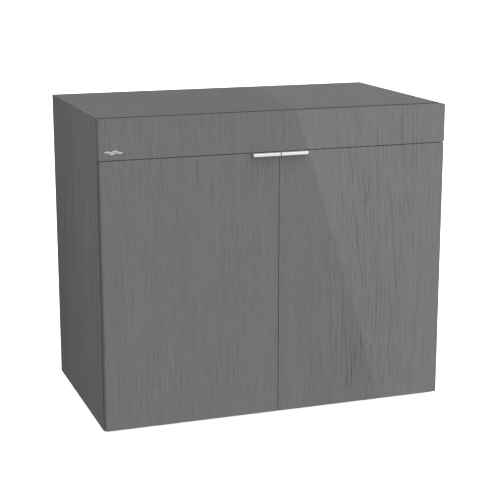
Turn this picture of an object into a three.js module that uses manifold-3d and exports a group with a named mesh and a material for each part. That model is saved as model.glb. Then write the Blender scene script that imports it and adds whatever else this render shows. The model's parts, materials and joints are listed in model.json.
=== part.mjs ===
// Aquarium stand cabinet in millimetres. X is the width, -Y the front and +Z up.
// The origin is on the floor, at the centre of the footprint.
// A plain board carcass carries a fascia and two overlay doors on concealed cup hinges.

import * as THREE from 'three';
import { mergeVertices } from 'three/addons/utils/BufferGeometryUtils.js';
import Module from 'manifold-3d';

// ---------------------------------------------------------------- driving dimensions

const WIDTH = 800;
const HEIGHT = 690;
const BOARD = 19;
const CARCASS_DEPTH = 450;
const FRONT_GAP = 3; // air between the carcass and the doors
const GAP = 0.3; // between pieces that touch

const FASCIA_HEIGHT = 86;
const PLINTH_HEIGHT = 50;
const PLINTH_SETBACK = 3;
const RAIL_DROP = 105; // top rail's lower edge, below the top surface

const DOOR_SIDE_INSET = 1;
const DOOR_CENTRE_GAP = 1.2;
const DOOR_FLOOR_GAP = 7;
const DOOR_TOP_GAP = 1.5;

const PULL_REACH = 12;
const PULL_LENGTH = 62.5;
const PULL_SHEET = 1.2;
const PULL_LIP = 6.8;
const PULL_FLANGE = 25;
const PULL_INSET = 0.4; // from the door's inner edge to the pull's inner end
const PULL_SCREW_INSETS = [16, 48]; // from the pull's inner end

const SHELF_HEIGHT = 330; // underside, above the floor
const SHELF_DEPTH = 395;
const PIN_ROWS = [-140, 180]; // y of the two rows of shelf pin holes
const PIN_PITCH = 32;
const PIN_LEVELS = [-2, -1, 0, 1, 2];
const PIN_RADIUS = 2.5;

const PORT_SIZE = [150, 80];
const PORT_CORNER = 20;
const PORT_X = 195;
const PORT_HEIGHT = 600;

const HINGE_HEIGHTS = { lower: 125, upper: 500 };
const CAM_INSET = 34; // from the end of the board
const CAM_RADIUS = 7.5;
const CAM_LENGTH = 12;
const BACK_CAM_HEIGHTS = [150, 520];
const BOTTOM_CAM_ROWS = [-150, 160];

const BUMPER_RADIUS = 4;
const BUMPERS = { upper: [80, 592], lower: [30, 60] }; // distance from the centre, height

// ---------------------------------------------------------------- derived planes

const HALF = WIDTH / 2;
const INNER = HALF - BOARD;
const BACK = (CARCASS_DEPTH + FRONT_GAP + BOARD + PULL_REACH) / 2;
const FRONT = BACK - CARCASS_DEPTH; // front edges of the carcass
const DOOR_BACK = FRONT - FRONT_GAP;
const DOOR_FACE = DOOR_BACK - BOARD;
const UNDER_TOP = HEIGHT - BOARD;
const FASCIA_BOTTOM = HEIGHT - FASCIA_HEIGHT;
const DOOR_TOP = FASCIA_BOTTOM - DOOR_TOP_GAP;
const RAIL_BOTTOM = HEIGHT - RAIL_DROP;
const FLOOR_TOP = PLINTH_HEIGHT + BOARD; // upper face of the bottom panel
const BACK_PANEL_FRONT = BACK - BOARD;
const RAIL_BACK = FRONT + BOARD;
const PIN_CENTRE = SHELF_HEIGHT - GAP - PIN_RADIUS;

// ---------------------------------------------------------------- materials

const standard = (color, roughness, metalness = 0) =>
  new THREE.MeshStandardMaterial({ color, roughness, metalness });

const laminate = standard(0x727371, 0.18);
const aluminium = standard(0xe9eaec, 0.3, 1);
const steel = standard(0xb9bbbd, 0.28, 1);
const zinc = standard(0x9c9c98, 0.5, 1);
const blackPlastic = standard(0x1b1c1d, 0.55);
const clearRubber = standard(0xd9dbd6, 0.45);
const badgeWhite = standard(0xf3f3ef, 0.35);

// ---------------------------------------------------------------- geometry helpers

const wasm = await Module();
wasm.setup();

function toSolid(geometry) {
  const bare = geometry.clone();
  bare.deleteAttribute('normal');
  bare.deleteAttribute('uv');
  const merged = mergeVertices(bare, 1e-4);
  const vertProperties = new Float32Array(merged.attributes.position.array);
  const triVerts = new Uint32Array(merged.index.array);
  return new wasm.Manifold(new wasm.Mesh({ numProp: 3, vertProperties, triVerts }));
}

function toGeometry(solid) {
  const mesh = solid.getMesh();
  const geometry = new THREE.BufferGeometry();
  geometry.setAttribute('position', new THREE.BufferAttribute(mesh.vertProperties, 3));
  geometry.setIndex(new THREE.BufferAttribute(mesh.triVerts, 1));
  return geometry;
}

function join(...geometries) {
  return toGeometry(geometries.map(toSolid).reduce((sum, next) => sum.add(next)));
}

function cut(base, ...tools) {
  return toGeometry(tools.map(toSolid).reduce((rest, tool) => rest.subtract(tool), toSolid(base)));
}

function common(a, b) {
  return toGeometry(toSolid(a).intersect(toSolid(b)));
}

// The same piece on the other side of the plane x = 0.
function mirrored(geometry) {
  const copy = geometry.index ? geometry.clone() : mergeVertices(geometry);
  copy.scale(-1, 1, 1);
  const index = copy.index.array;
  for (let i = 0; i < index.length; i += 3) {
    [index[i], index[i + 1]] = [index[i + 1], index[i]];
  }
  return copy;
}

function box(x0, x1, y0, y1, z0, z1) {
  const geometry = new THREE.BoxGeometry(x1 - x0, y1 - y0, z1 - z0);
  return geometry.translate((x0 + x1) / 2, (y0 + y1) / 2, (z0 + z1) / 2);
}

// A cylinder that grows from `start` along the named axis.
function rod(axis, radius, start, length, segments = 24) {
  const geometry = new THREE.CylinderGeometry(radius, radius, length, segments);
  geometry.translate(0, length / 2, 0);
  if (axis === 'x') geometry.rotateZ(-Math.PI / 2);
  if (axis === 'z') geometry.rotateX(Math.PI / 2);
  return geometry.translate(...start);
}

const outline = (points) => new THREE.Shape(points.map(([a, b]) => new THREE.Vector2(a, b)));

// A shape drawn in (y, z), extruded from x0 to x1.
function extrudeAlongX(shape, x0, x1) {
  const geometry = new THREE.ExtrudeGeometry(shape, { depth: x1 - x0, bevelEnabled: false });
  return geometry.rotateX(Math.PI / 2).rotateZ(Math.PI / 2).translate(x0, 0, 0);
}

// A shape drawn in (x, z), extruded from y0 to y1.
function extrudeAlongY(shape, y0, y1, curveSegments = 3) {
  const options = { depth: y1 - y0, bevelEnabled: false, curveSegments };
  return new THREE.ExtrudeGeometry(shape, options).rotateX(Math.PI / 2).translate(0, y1, 0);
}

function roundedRectangle(centreX, centreZ, width, height, radius) {
  const [x, z] = [width / 2 - radius, height / 2 - radius];
  const shape = new THREE.Shape();
  shape.absarc(centreX + x, centreZ + z, radius, 0, Math.PI / 2);
  shape.absarc(centreX - x, centreZ + z, radius, Math.PI / 2, Math.PI);
  shape.absarc(centreX - x, centreZ - z, radius, Math.PI, Math.PI * 1.5);
  shape.absarc(centreX + x, centreZ - z, radius, Math.PI * 1.5, Math.PI * 2);
  shape.closePath();
  return shape;
}

// ---------------------------------------------------------------- the scene graph

const cabinet = new THREE.Group();
const carcass = new THREE.Group();
const doors = { left: new THREE.Group(), right: new THREE.Group() };
cabinet.add(carcass, doors.left, doors.right);

function add(group, name, geometry, material) {
  const mesh = new THREE.Mesh(geometry, material);
  mesh.name = name;
  group.add(mesh);
}

// Adds a piece that is modelled on the left, and its mirror image on the right.
function addPair(groups, name, geometry, material) {
  add(groups.left, `left_${name}`, geometry, material);
  add(groups.right, `right_${name}`, mirrored(geometry), material);
}

const onCarcass = { left: carcass, right: carcass };

// ---------------------------------------------------------------- carcass boards

const MITRE_STEP = GAP * Math.SQRT2; // keeps the mitred faces GAP apart

function leftSidePanel() {
  const section = outline([
    [-HALF, 0],
    [-INNER, 0],
    [-INNER, UNDER_TOP - MITRE_STEP],
    [-HALF, HEIGHT - MITRE_STEP],
  ]);
  return extrudeAlongY(section, FRONT, BACK);
}

function topPanel() {
  const section = outline([
    [-INNER, UNDER_TOP],
    [INNER, UNDER_TOP],
    [HALF, HEIGHT],
    [-HALF, HEIGHT],
  ]);
  return extrudeAlongY(section, FRONT, BACK);
}

// Blind holes for shelf pins, starting at the plane x and running in the given direction.
function pinHoles(x, direction) {
  const depth = 9;
  const radius = PIN_RADIUS + GAP;
  const holes = [];
  for (const y of PIN_ROWS) {
    for (const level of PIN_LEVELS) {
      const start = [direction > 0 ? x - 1 : x - depth, y, PIN_CENTRE + level * PIN_PITCH];
      holes.push(rod('x', radius, start, depth + 1, 12));
    }
  }
  return holes;
}

const BOARD_END = INNER - GAP;

function camPocketInBack(x, z) {
  return rod('y', CAM_RADIUS + GAP, [x, BACK - CAM_LENGTH - 2 * GAP, z], CAM_LENGTH + 5);
}

function camPocketInBottom(x, y) {
  return rod('z', CAM_RADIUS + GAP, [x, y, PLINTH_HEIGHT - 5], CAM_LENGTH + 2 * GAP + 5);
}

function bottomPanel() {
  const board = box(
    -BOARD_END, BOARD_END, FRONT, BACK_PANEL_FRONT - GAP, PLINTH_HEIGHT, FLOOR_TOP,
  );
  const pockets = [];
  for (const x of [-1, 1]) {
    for (const y of BOTTOM_CAM_ROWS) {
      pockets.push(camPocketInBottom(x * (BOARD_END - CAM_INSET), y));
    }
  }
  return cut(board, ...pockets);
}

function backPanel() {
  const board = box(-BOARD_END, BOARD_END, BACK_PANEL_FRONT, BACK, 0, UNDER_TOP - GAP);
  const tools = [];
  for (const side of [-1, 1]) {
    const port = roundedRectangle(side * PORT_X, PORT_HEIGHT, ...PORT_SIZE, PORT_CORNER);
    tools.push(extrudeAlongY(port, BACK_PANEL_FRONT - 5, BACK + 5));
    for (const z of BACK_CAM_HEIGHTS) {
      tools.push(camPocketInBack(side * (BOARD_END - CAM_INSET), z));
    }
  }
  return cut(board, ...tools);
}

// A full-height divider whose front top corner is notched round the top rail.
function centrePartition() {
  const back = BACK_PANEL_FRONT - GAP;
  const section = outline([
    [FRONT, FLOOR_TOP + GAP],
    [back, FLOOR_TOP + GAP],
    [back, UNDER_TOP - GAP],
    [RAIL_BACK + GAP, UNDER_TOP - GAP],
    [RAIL_BACK + GAP, RAIL_BOTTOM - GAP],
    [FRONT, RAIL_BOTTOM - GAP],
  ]);
  const board = extrudeAlongX(section, -BOARD / 2, BOARD / 2);
  return cut(board, ...pinHoles(-BOARD / 2, 1));
}

add(carcass, 'left_side_panel', cut(leftSidePanel(), ...pinHoles(-INNER, -1)), laminate);
add(carcass, 'right_side_panel', mirrored(leftSidePanel()), laminate);
add(carcass, 'top_panel', topPanel(), laminate);
add(carcass, 'bottom_panel', bottomPanel(), laminate);
add(carcass, 'back_panel', backPanel(), laminate);
add(carcass, 'centre_partition', centrePartition(), laminate);

const topRail = box(-BOARD_END, BOARD_END, FRONT, RAIL_BACK, RAIL_BOTTOM, UNDER_TOP - GAP);
add(carcass, 'front_top_rail', topRail, laminate);

const plinthFront = FRONT + PLINTH_SETBACK;
const plinthBack = plinthFront + BOARD;
const plinthTop = PLINTH_HEIGHT - GAP;
const plinthRail = box(-BOARD_END, BOARD_END, plinthFront, plinthBack, 0, plinthTop);
add(carcass, 'plinth_front_rail', plinthRail, laminate);

const plinthSupport = box(
  -BOARD / 2, BOARD / 2, plinthBack + GAP, BACK_PANEL_FRONT - GAP, 0, plinthTop,
);
add(carcass, 'plinth_centre_support', plinthSupport, laminate);

const fascia = box(-HALF, HALF, DOOR_FACE, DOOR_BACK, FASCIA_BOTTOM, HEIGHT);
add(carcass, 'fascia', fascia, laminate);

const SPACER_INSET = 8; // the spacer strip stays out of sight in the gap
const spacer = box(
  -HALF + SPACER_INSET, HALF - SPACER_INSET,
  DOOR_BACK + GAP, FRONT - GAP,
  FASCIA_BOTTOM + SPACER_INSET, HEIGHT - SPACER_INSET,
);
add(carcass, 'fascia_spacer_strip', spacer, blackPlastic);

// ---------------------------------------------------------------- hose and cable ports

// A thin sleeve through the back panel with a flange on the inside of the cabinet.
function hosePortTrim(centreX) {
  const [wide, high] = PORT_SIZE;
  const wall = 2;
  const flangeWidth = 5;
  const flangeThickness = 1.5;
  const ring = (grow, corner) => {
    const shape = roundedRectangle(
      centreX, PORT_HEIGHT, wide + 2 * grow, high + 2 * grow, PORT_CORNER + corner,
    );
    const opening = -GAP - wall;
    shape.holes.push(roundedRectangle(
      centreX, PORT_HEIGHT, wide + 2 * opening, high + 2 * opening, PORT_CORNER + opening,
    ));
    return shape;
  };
  const front = BACK_PANEL_FRONT - GAP - flangeThickness;
  const flange = extrudeAlongY(ring(flangeWidth, flangeWidth), front, front + flangeThickness);
  const sleeve = extrudeAlongY(ring(-GAP, -GAP), front, BACK);
  return join(flange, sleeve);
}

add(carcass, 'left_hose_port_trim', hosePortTrim(-PORT_X), blackPlastic);
add(carcass, 'right_hose_port_trim', hosePortTrim(PORT_X), blackPlastic);

// ---------------------------------------------------------------- shelf and its pins

const SHELF_END_GAP = 1.6; // room for the pin collars at each end
const shelfBack = BACK_PANEL_FRONT - 3;
const shelf = box(
  -INNER + SHELF_END_GAP, -BOARD / 2 - SHELF_END_GAP,
  shelfBack - SHELF_DEPTH, shelfBack,
  SHELF_HEIGHT, SHELF_HEIGHT + BOARD,
);
add(carcass, 'shelf', shelf, laminate);

// A turned pin with a thin collar, half of it in the board. It points along +X.
function shelfPin() {
  const inBoard = 8;
  const outside = 8;
  const collar = [GAP, GAP + 1];
  const collarRadius = PIN_RADIUS + 1;
  const profile = [
    [0, -inBoard],
    [PIN_RADIUS, -inBoard],
    [PIN_RADIUS, collar[0]],
    [collarRadius, collar[0]],
    [collarRadius, collar[1]],
    [PIN_RADIUS, collar[1]],
    [PIN_RADIUS, outside],
    [0, outside],
  ].map(([r, h]) => new THREE.Vector2(r, h));
  return new THREE.LatheGeometry(profile, 16).rotateZ(-Math.PI / 2);
}

let pinNumber = 1;
for (const y of PIN_ROWS) {
  const atSide = shelfPin().translate(-INNER, y, PIN_CENTRE);
  const atPartition = mirrored(shelfPin()).translate(-BOARD / 2, y, PIN_CENTRE);
  for (const pin of [atSide, atPartition]) {
    add(carcass, `shelf_pin_${pinNumber}`, pin, zinc);
    pinNumber += 1;
  }
}

// ---------------------------------------------------------------- cam locks

// A cam with a cross slot in its outer end, which faces along +Y.
function camLock() {
  const slotWidth = 1.8;
  const slotLength = 9;
  const slotDepth = 3;
  const body = rod('y', CAM_RADIUS, [0, -CAM_LENGTH, 0], CAM_LENGTH);
  const [w, l] = [slotWidth / 2, slotLength / 2];
  return cut(body, box(-l, l, -slotDepth, 1, -w, w), box(-w, w, -slotDepth, 1, -l, l));
}

let camNumber = 1;
for (const side of [-1, 1]) {
  const x = side * (BOARD_END - CAM_INSET);
  for (const z of BACK_CAM_HEIGHTS) {
    add(carcass, `back_cam_lock_${camNumber}`, camLock().translate(x, BACK - GAP, z), zinc);
    camNumber += 1;
  }
}
camNumber = 1;
for (const side of [-1, 1]) {
  const x = side * (BOARD_END - CAM_INSET);
  for (const y of BOTTOM_CAM_ROWS) {
    const cam = camLock().rotateX(-Math.PI / 2).translate(x, y, PLINTH_HEIGHT + GAP);
    add(carcass, `bottom_cam_lock_${camNumber}`, cam, zinc);
    camNumber += 1;
  }
}

// ---------------------------------------------------------------- badge

// Two parallel ripples that run together at both ends, standing on the fascia.
function waveBadge() {
  const length = 39;
  const left = -HALF + 11;
  const middle = FASCIA_BOTTOM + 16.5;
  const waves = 2;
  const swing = 1.6;
  const spread = 2.2;
  const steps = 28;
  const at = (s, offset, half) => {
    const centre = swing * Math.sin(2 * Math.PI * waves * s);
    const swell = Math.sin(Math.PI * s);
    const z = centre + offset * spread * swell + half * (0.25 + 0.45 * swell);
    return [left + length * s, middle + z];
  };
  const edge = (from, to, offset, half) => {
    const points = [];
    for (let i = 0; i <= steps; i += 1) {
      points.push(at(from + ((to - from) * i) / steps, offset, half));
    }
    return points;
  };
  const shape = outline([...edge(0, 1, -1, -1), ...edge(1, 0, 1, 1)]);
  const inside = [...edge(0.1, 0.9, 1, -1), ...edge(0.9, 0.1, -1, 1)];
  shape.holes.push(outline(inside));
  const thickness = 0.8;
  return extrudeAlongY(shape, DOOR_FACE - GAP - thickness, DOOR_FACE - GAP);
}

add(carcass, 'wave_badge', waveBadge(), badgeWhite);

// ---------------------------------------------------------------- hinges
// Each hinge is drawn on the left side. u runs inward from the outer face of the side
// panel, v from the front edge of the carcass into the cabinet, and w up from the hinge.

const PIN_U = 8.5;
const PIN_V = -12.8;
const HINGE_PIN_RADIUS = 1.2;
const HINGE_PIN_HALF = 9;

const CUP_U = 21.5;
const CUP_RADIUS = 17.2;
const CUP_WALL = 1;
const CUP_FLOOR = 0.8;
const CUP_FLANGE = 1; // thickness, standing on the door's back
const CUP_FLANGE_HALF = 26;
const CUP_COLLAR_HALF = 20;
const CUP_FLANGE_U = [26, 36];
const BORE_DEPTH = 13.7;
const EAR_U = [4.6, 11.6]; // two ears in the cup hold the pin
const EAR_RISE = 2.6; // past the pin's axis
const EAR_OUTER = 12;

const NECK_HALF = 4;
const NECK_SHEET = 3;
const KNUCKLE_RADIUS = 2.3;
const LEG_U = [20.5, 24];
const CHANNEL_V = [7, 66];
const CHANNEL_HALF = 8.5;
const CHANNEL_SHEET = 1.5;
const CHANNEL_TOP_U = 29;
const CHANNEL_FOOT_U = 22.5;
const BRIDGE_V = [2, 8]; // joins the leg to the channel

const PLATE_TOP_U = 27;
const PLATE_V = [22, 62];
const PLATE_HALF = 6.5;
const WING_THICKNESS = 2.5;
const WING_V = [30, 44];
const WING_HALF = 26;

const hingeBox = (level, [u0, u1], [v0, v1], [w0, w1]) =>
  box(u0 - HALF, u1 - HALF, v0 + FRONT, v1 + FRONT, level + w0, level + w1);

const upright = (level, radius, u, v, half, segments) =>
  rod('z', radius, [u - HALF, v + FRONT, level - half], 2 * half, segments);

const pinBore = (level, half) =>
  upright(level, HINGE_PIN_RADIUS + GAP, PIN_U, PIN_V, half, 16);

// A disc round the cup's axis, between two depths.
const cupDisc = (level, radius, [v0, v1]) =>
  rod('y', radius, [CUP_U - HALF, v0 + FRONT, level], v1 - v0, 32);

const centred = (half) => [-half, half];

const doorBackV = -FRONT_GAP;
const boreBottomV = doorBackV - BORE_DEPTH;

// A cup with a winged flange on the door's back and two ears inside it.
function hingeCup(level) {
  const bottom = boreBottomV + GAP;
  const floor = bottom + CUP_FLOOR;
  const flange = [doorBackV + GAP, doorBackV + GAP + CUP_FLANGE];
  const rim = [doorBackV - 1, flange[1]];
  const wings = hingeBox(level, CUP_FLANGE_U, flange, centred(CUP_FLANGE_HALF));
  const collarBand = hingeBox(
    level, [CUP_FLANGE_U[0], CUP_U + CUP_RADIUS + 1], rim, centred(CUP_COLLAR_HALF),
  );
  const collar = common(cupDisc(level, CUP_RADIUS, rim), collarBand);
  const shell = join(cupDisc(level, CUP_RADIUS, [bottom, doorBackV]), wings, collar);
  const hollow = cupDisc(level, CUP_RADIUS - CUP_WALL, [floor, flange[1] + 5]);
  const earInner = NECK_HALF + 2 * GAP;
  const earV = [floor - CUP_FLOOR / 2, PIN_V + EAR_RISE];
  const earBlocks = join(
    hingeBox(level, EAR_U, earV, [earInner, EAR_OUTER]),
    hingeBox(level, EAR_U, earV, [-EAR_OUTER, -earInner]),
  );
  const inside = cupDisc(level, CUP_RADIUS - CUP_WALL / 2, [bottom, doorBackV]);
  const ears = common(earBlocks, inside);
  return cut(join(cut(shell, hollow), ears), pinBore(level, HINGE_PIN_HALF + GAP));
}

function hingePin(level) {
  return upright(level, HINGE_PIN_RADIUS, PIN_U, PIN_V, HINGE_PIN_HALF, 16);
}

// A goose-neck arm: a knuckle on the pin, a foot and a leg that reach round the door's
// edge, and a channel that slides over the mounting plate.
function hingeArm(level) {
  const neck = centred(NECK_HALF);
  const width = centred(CHANNEL_HALF);
  const footV = PIN_V - 2.2;
  const wallU = [CHANNEL_FOOT_U, CHANNEL_TOP_U];
  const wallW = [CHANNEL_HALF - CHANNEL_SHEET, CHANNEL_HALF];
  const knuckle = upright(level, KNUCKLE_RADIUS, PIN_U, PIN_V, NECK_HALF, 20);
  const foot = hingeBox(level, [PIN_U, LEG_U[1]], [footV, footV + NECK_SHEET], neck);
  const leg = hingeBox(level, LEG_U, [footV, BRIDGE_V[0] + 1], neck);
  const bridge = hingeBox(level, [LEG_U[0], CHANNEL_TOP_U], BRIDGE_V, width);
  const web = hingeBox(level, [PLATE_TOP_U + GAP, CHANNEL_TOP_U], CHANNEL_V, width);
  const upperWall = hingeBox(level, wallU, CHANNEL_V, wallW);
  const lowerWall = hingeBox(level, wallU, CHANNEL_V, [-wallW[1], -wallW[0]]);
  const body = join(knuckle, foot, leg, bridge, web, upperWall, lowerWall);
  return cut(body, pinBore(level, NECK_HALF + 1));
}

// A raised block between two wings, on the inner face of the side panel.
function hingePlate(level) {
  const face = BOARD + GAP;
  const block = hingeBox(level, [face, PLATE_TOP_U], PLATE_V, centred(PLATE_HALF));
  const wings = hingeBox(level, [face, face + WING_THICKNESS], WING_V, centred(WING_HALF));
  return join(block, wings);
}

for (const [place, level] of Object.entries(HINGE_HEIGHTS)) {
  addPair(onCarcass, `${place}_hinge_plate`, hingePlate(level), steel);
  addPair(onCarcass, `${place}_hinge_arm`, hingeArm(level), steel);
  addPair(doors, `${place}_hinge_pin`, hingePin(level), steel);
  addPair(doors, `${place}_hinge_cup`, hingeCup(level), steel);
}

// ---------------------------------------------------------------- doors and pulls

const doorInner = -DOOR_CENTRE_GAP / 2;
const pullInner = doorInner - PULL_INSET;
const pullOuter = pullInner - PULL_LENGTH;
const pullTop = DOOR_TOP; // the plate lies in a recess, flush with the door's top edge
const pullFlangeFoot = DOOR_TOP - PULL_FLANGE;
const SCREW_RADIUS = 1.5;
const SCREW_LENGTH = 13;
const SCREW_HEAD_RADIUS = 3;
const SCREW_HEAD_HEIGHT = 1.2;
const screwHeight = pullFlangeFoot + 7;

function doorPanel() {
  const board = box(
    -HALF + DOOR_SIDE_INSET, doorInner, DOOR_FACE, DOOR_BACK, DOOR_FLOOR_GAP, DOOR_TOP,
  );
  const [recessOuter, recessInner] = [pullOuter - GAP, doorInner + 5];
  const rebate = box(
    recessOuter, recessInner, DOOR_BACK - PULL_SHEET - 2 * GAP, DOOR_BACK + 5,
    pullFlangeFoot - GAP, DOOR_TOP + 5,
  );
  const recess = box(
    recessOuter, recessInner, DOOR_FACE - 5, DOOR_BACK + 5,
    pullTop - PULL_SHEET - GAP, DOOR_TOP + 5,
  );
  const bores = Object.values(HINGE_HEIGHTS).map(
    (level) => cupDisc(level, CUP_RADIUS + GAP, [boreBottomV, 5]),
  );
  const pilots = PULL_SCREW_INSETS.map((inset) => rod(
    'y', SCREW_RADIUS + GAP,
    [pullInner - inset, DOOR_BACK - SCREW_LENGTH - 1, screwHeight], SCREW_LENGTH + 6, 12,
  ));
  return cut(board, rebate, recess, ...bores, ...pilots);
}

// A bent strip: a flange on the back of the door, a plate over its top edge and a lip.
function pull() {
  const lipFront = DOOR_FACE - PULL_REACH;
  const flangeBack = DOOR_BACK - GAP / 2;
  const section = outline([
    [flangeBack, pullFlangeFoot],
    [flangeBack, pullTop],
    [lipFront, pullTop],
    [lipFront, pullTop - PULL_LIP],
    [lipFront + PULL_SHEET, pullTop - PULL_LIP],
    [lipFront + PULL_SHEET, pullTop - PULL_SHEET],
    [flangeBack - PULL_SHEET, pullTop - PULL_SHEET],
    [flangeBack - PULL_SHEET, pullFlangeFoot],
  ]);
  const holes = PULL_SCREW_INSETS.map((inset) => rod(
    'y', SCREW_RADIUS + GAP, [pullInner - inset, DOOR_BACK - 5, screwHeight], 10, 12,
  ));
  return cut(extrudeAlongX(section, pullOuter, pullInner), ...holes);
}

function pullScrew(inset) {
  const x = pullInner - inset;
  const headSeat = DOOR_BACK + GAP / 2;
  const shankStart = [x, headSeat - SCREW_LENGTH, screwHeight];
  const shank = rod('y', SCREW_RADIUS, shankStart, SCREW_LENGTH + SCREW_HEAD_HEIGHT / 2, 12);
  const head = rod('y', SCREW_HEAD_RADIUS, [x, headSeat, screwHeight], SCREW_HEAD_HEIGHT, 16);
  return join(shank, head);
}

addPair(doors, 'door_panel', doorPanel(), laminate);
addPair(doors, 'pull', pull(), aluminium);
PULL_SCREW_INSETS.forEach((inset, i) => {
  addPair(doors, `pull_screw_${i + 1}`, pullScrew(inset), steel);
});

for (const [place, [fromCentre, z]] of Object.entries(BUMPERS)) {
  const start = [-fromCentre, DOOR_BACK + GAP, z];
  const bumper = rod('y', BUMPER_RADIUS, start, FRONT_GAP - 2 * GAP, 20);
  addPair(doors, `${place}_bumper`, bumper, clearRubber);
}

export default cabinet;
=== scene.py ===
"""Looks of the aquarium stand cabinet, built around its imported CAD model. Metres, +Z up, -Y front."""

import json
import math

import bmesh
import bpy
from mathutils import Matrix, Vector

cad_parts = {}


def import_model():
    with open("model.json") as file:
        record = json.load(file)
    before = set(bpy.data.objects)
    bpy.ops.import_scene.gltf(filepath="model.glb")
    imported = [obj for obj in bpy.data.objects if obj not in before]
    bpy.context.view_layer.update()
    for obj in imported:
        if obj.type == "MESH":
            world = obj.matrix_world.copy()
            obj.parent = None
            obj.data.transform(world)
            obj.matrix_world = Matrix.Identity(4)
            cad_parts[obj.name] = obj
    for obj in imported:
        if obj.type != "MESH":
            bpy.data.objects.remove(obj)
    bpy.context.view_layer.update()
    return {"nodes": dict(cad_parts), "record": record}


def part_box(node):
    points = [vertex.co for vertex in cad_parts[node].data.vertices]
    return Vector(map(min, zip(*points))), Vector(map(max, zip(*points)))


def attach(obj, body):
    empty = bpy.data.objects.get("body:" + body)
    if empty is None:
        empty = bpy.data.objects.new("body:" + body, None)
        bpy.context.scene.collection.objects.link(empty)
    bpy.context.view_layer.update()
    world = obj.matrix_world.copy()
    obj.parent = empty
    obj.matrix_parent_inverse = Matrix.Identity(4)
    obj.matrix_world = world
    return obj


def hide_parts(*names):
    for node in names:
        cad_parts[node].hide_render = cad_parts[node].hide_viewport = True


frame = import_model()
nodes = frame["nodes"]
MM = 0.001

TOP_LOW, TOP_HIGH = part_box("top_panel")
FRONT_FACE_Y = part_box("fascia")[0].y
TOP_Z = TOP_HIGH.z
SIDES = {"left": 1, "right": -1}  # the direction in x from a side panel to the middle
PLACES = ("upper", "lower")


# ---------------------------------------------------------------- camera

CAMERA_PLACE = Vector((-1.036, -2.954, 1.076))
CAMERA_YAW = math.radians(19.57)  # towards +X from straight ahead
CAMERA_PITCH = math.radians(13.38)  # downwards
LENS_MM = 97.5

camera = bpy.data.objects.new("camera", bpy.data.cameras.new("camera"))
camera.location = CAMERA_PLACE
camera.rotation_euler = (math.pi / 2 - CAMERA_PITCH, 0, -CAMERA_YAW)
camera.data.lens = LENS_MM
camera.data.sensor_width = 36
bpy.context.scene.collection.objects.link(camera)
bpy.context.scene.camera = camera
bpy.context.scene.view_settings.view_transform = "Standard"


# ---------------------------------------------------------------- node graphs

class Graph:
    """Writes a node tree from left to right. Sockets are linked, plain values are set."""

    def __init__(self, tree):
        self.tree = tree
        tree.nodes.clear()

    def node(self, kind, inputs=None, **settings):
        made = self.tree.nodes.new(kind)
        for key, value in settings.items():
            setattr(made, key, value)
        for key, value in (inputs or {}).items():
            if isinstance(value, bpy.types.NodeSocket):
                self.tree.links.new(value, made.inputs[key])
            else:
                made.inputs[key].default_value = value
        return made

    def math(self, operation, a, b=0.0):
        return self.node("ShaderNodeMath", {0: a, 1: b}, operation=operation).outputs[0]

    def vector(self, operation, a, b):
        return self.node("ShaderNodeVectorMath", {0: a, 1: b}, operation=operation)

    def noise(self, place, detail=2.0, roughness=0.5):
        inputs = {"Vector": place, "Scale": 1.0, "Detail": detail, "Roughness": roughness}
        return self.node("ShaderNodeTexNoise", inputs).outputs["Fac"]

    def stretched_noise(self, place, scale, detail=2.0, roughness=0.5):
        """Noise with its own scale, per metre, along each axis."""
        return self.noise(self.vector("MULTIPLY", place, scale).outputs[0], detail, roughness)

    def remap(self, value, low, high, to_low=0.0, to_high=1.0):
        """Takes low to to_low and high to to_high, smoothly, and holds them outside."""
        inputs = {
            "Value": value, "From Min": low, "From Max": high,
            "To Min": to_low, "To Max": to_high,
        }
        made = self.node("ShaderNodeMapRange", inputs, interpolation_type="SMOOTHSTEP")
        return made.outputs["Result"]

    def product(self, *values):
        total = values[0]
        for value in values[1:]:
            total = self.math("MULTIPLY", total, value)
        return total

    def weighted_sum(self, start, terms):
        """start + the sum of weight * value over (value, weight) pairs."""
        total = start
        for value, weight in terms:
            total = self.math("ADD", total, self.product(value, weight))
        return total

    def mix_colour(self, factor, a, b):
        made = self.node("ShaderNodeMix", {"Factor": factor}, data_type="RGBA")
        colour_a, colour_b, colour_out = made.inputs[6], made.inputs[7], made.outputs[2]
        for socket, value in ((colour_a, a), (colour_b, b)):
            if isinstance(value, bpy.types.NodeSocket):
                self.tree.links.new(value, socket)
            else:
                socket.default_value = (*value, 1.0)
        return colour_out

    def ramp(self, value, stops):
        """A colour ramp through (position, colour) stops."""
        made = self.node("ShaderNodeValToRGB", {"Fac": value})
        elements = made.color_ramp.elements
        while len(elements) < len(stops):
            elements.new(0.5)
        for element, (position, colour) in zip(elements, stops):
            element.position = position
            element.color = (*colour, 1.0)
        return made.outputs["Color"]


def new_material(name):
    """A material with a Principled shader, as (material, graph, shader node)."""
    material = bpy.data.materials.new(name)
    material.use_nodes = True
    graph = Graph(material.node_tree)
    shader = graph.node("ShaderNodeBsdfPrincipled")
    output = graph.node("ShaderNodeOutputMaterial")
    graph.tree.links.new(shader.outputs[0], output.inputs["Surface"])
    return material, graph, shader


def set_shader(graph, shader, **values):
    """Sets or links shader inputs, with spaces in their names written as underscores."""
    for key, value in values.items():
        socket = shader.inputs[key.replace("_", " ")]
        if isinstance(value, bpy.types.NodeSocket):
            graph.tree.links.new(value, socket)
        else:
            socket.default_value = value


def bump(graph, height, strength, distance):
    inputs = {"Height": height, "Strength": strength, "Distance": distance}
    return graph.node("ShaderNodeBump", inputs).outputs[0]


def srgb(red, green, blue):
    """Linear colour of 8-bit screen values."""
    def linear(value):
        value /= 255
        return value / 12.92 if value <= 0.04045 else ((value + 0.055) / 1.055) ** 2.4
    return linear(red), linear(green), linear(blue)


# ---------------------------------------------------------------- grey wood laminate

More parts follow.
